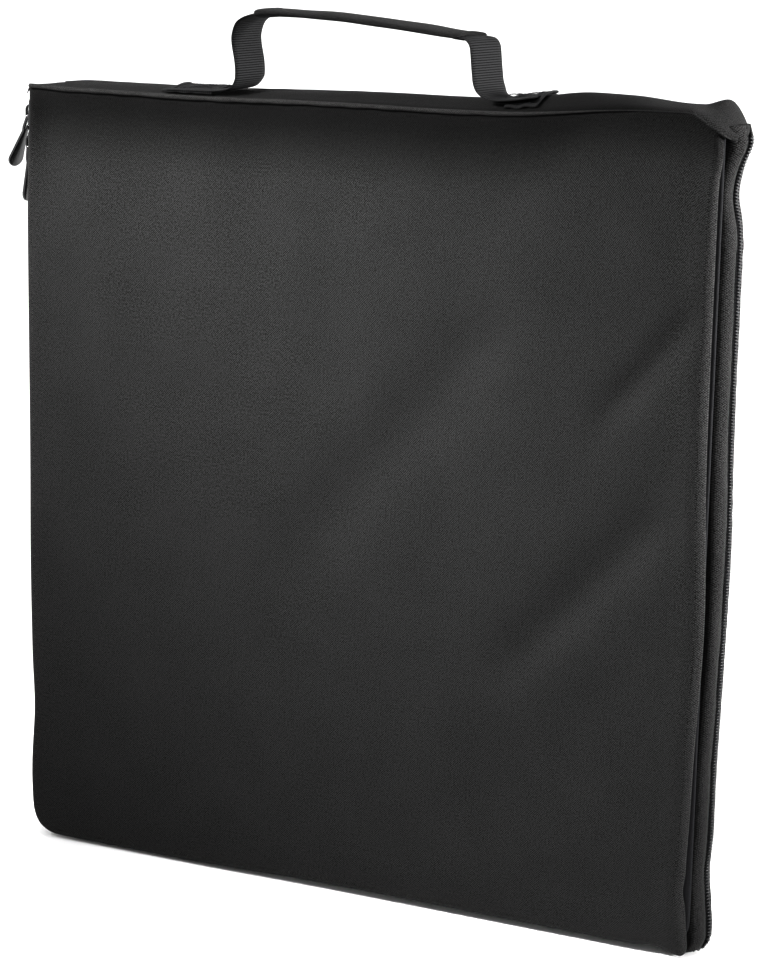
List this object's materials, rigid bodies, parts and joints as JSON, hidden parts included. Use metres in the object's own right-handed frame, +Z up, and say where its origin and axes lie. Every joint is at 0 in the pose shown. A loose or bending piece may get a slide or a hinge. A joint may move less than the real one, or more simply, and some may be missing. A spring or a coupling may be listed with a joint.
{
  "type": "music stand carrying bag",
  "caption": "Flat padded nylon carrying bag for a folded music stand, with a zip round its sides and base and a webbing handle on top",
  "frame": {"origin": "bottom centre of the whole object's box, on the surface the bag stands on; the bag's own middle is 9.6 mm towards +X, because the swung-out zip pull reaches past the left side", "axes": "+Z up, the front panel faces -Y, the zip sliders are at the top of the left side, which is -X"},
  "size_m": [0.5572, 0.046, 0.6224],
  "materials": {
    "shell_nylon": "matt black plain-woven nylon",
    "lining_cloth": "smooth thin black polyester",
    "padding_foam": "grey closed-cell foam",
    "webbing": "ribbed black polypropylene webbing",
    "zip_tape": "fine black woven tape",
    "zip_coil": "black nylon coil",
    "slider_metal": "gloss black enamel on zinc"
  },
  "bodies": {
    "rear_shell": {"rear_panel": "shell_nylon", "rear_padding": "padding_foam", "rear_lining": "lining_cloth", "rear_gusset_left": "shell_nylon", "rear_gusset_corner_left": "shell_nylon", "rear_gusset_bottom": "shell_nylon", "rear_gusset_corner_right": "shell_nylon", "rear_gusset_right": "shell_nylon", "rear_zip_tape": "zip_tape", "rear_zip_coil": "zip_coil", "rear_seam_binding": "lining_cloth", "top_panel": "shell_nylon", "top_padding": "padding_foam", "top_lining": "lining_cloth", "zip_end_tab_left": "shell_nylon", "zip_end_tab_right": "shell_nylon", "handle_foot_left": "webbing", "handle_foot_right": "webbing"},
    "front_cover": {"front_panel": "shell_nylon", "front_padding": "padding_foam", "front_lining": "lining_cloth", "front_gusset_left": "shell_nylon", "front_gusset_corner_left": "shell_nylon", "front_gusset_bottom": "shell_nylon", "front_gusset_corner_right": "shell_nylon", "front_gusset_right": "shell_nylon", "front_zip_tape": "zip_tape", "front_zip_coil": "zip_coil", "front_seam_binding": "lining_cloth"},
    "handle": {"handle_webbing": "webbing", "handle_grip_sleeve": "shell_nylon"},
    "upper_slider": {"upper_slider": "slider_metal"},
    "upper_pull": {"upper_pull": "slider_metal"},
    "lower_slider": {"lower_slider": "slider_metal"},
    "lower_pull": {"lower_pull": "slider_metal"}
  },
  "joints": [
    {"name": "cover_hinge", "type": "hinge", "parent": "rear_shell", "child": "front_cover", "pos_m": [0.00964, -0.0232, 0.5594], "axis": [-1, 0, 0], "range_deg": [0, 165]},
    {"name": "handle_swing", "type": "hinge", "parent": "rear_shell", "child": "handle", "pos_m": [0.00964, 0, 0.5805], "axis": [-1, 0, 0], "range_deg": [-60, 60]},
    {"name": "upper_slider_travel", "type": "slide", "parent": "rear_shell", "child": "upper_slider", "axis": [0, 0, 1], "range_m": [-0.1, 0.0025]},
    {"name": "upper_pull_swing", "type": "hinge", "parent": "upper_slider", "child": "upper_pull", "pos_m": [-0.26316, 0, 0.5361], "axis": [0, 1, 0], "range_deg": [0, 110]},
    {"name": "lower_slider_travel", "type": "slide", "parent": "upper_slider", "child": "lower_slider", "axis": [0, 0, 1], "range_m": [-0.34, 0]},
    {"name": "lower_pull_swing", "type": "hinge", "parent": "lower_slider", "child": "lower_pull", "pos_m": [-0.26316, 0, 0.5141], "axis": [0, 1, 0], "range_deg": [0, 30]}
  ]
}
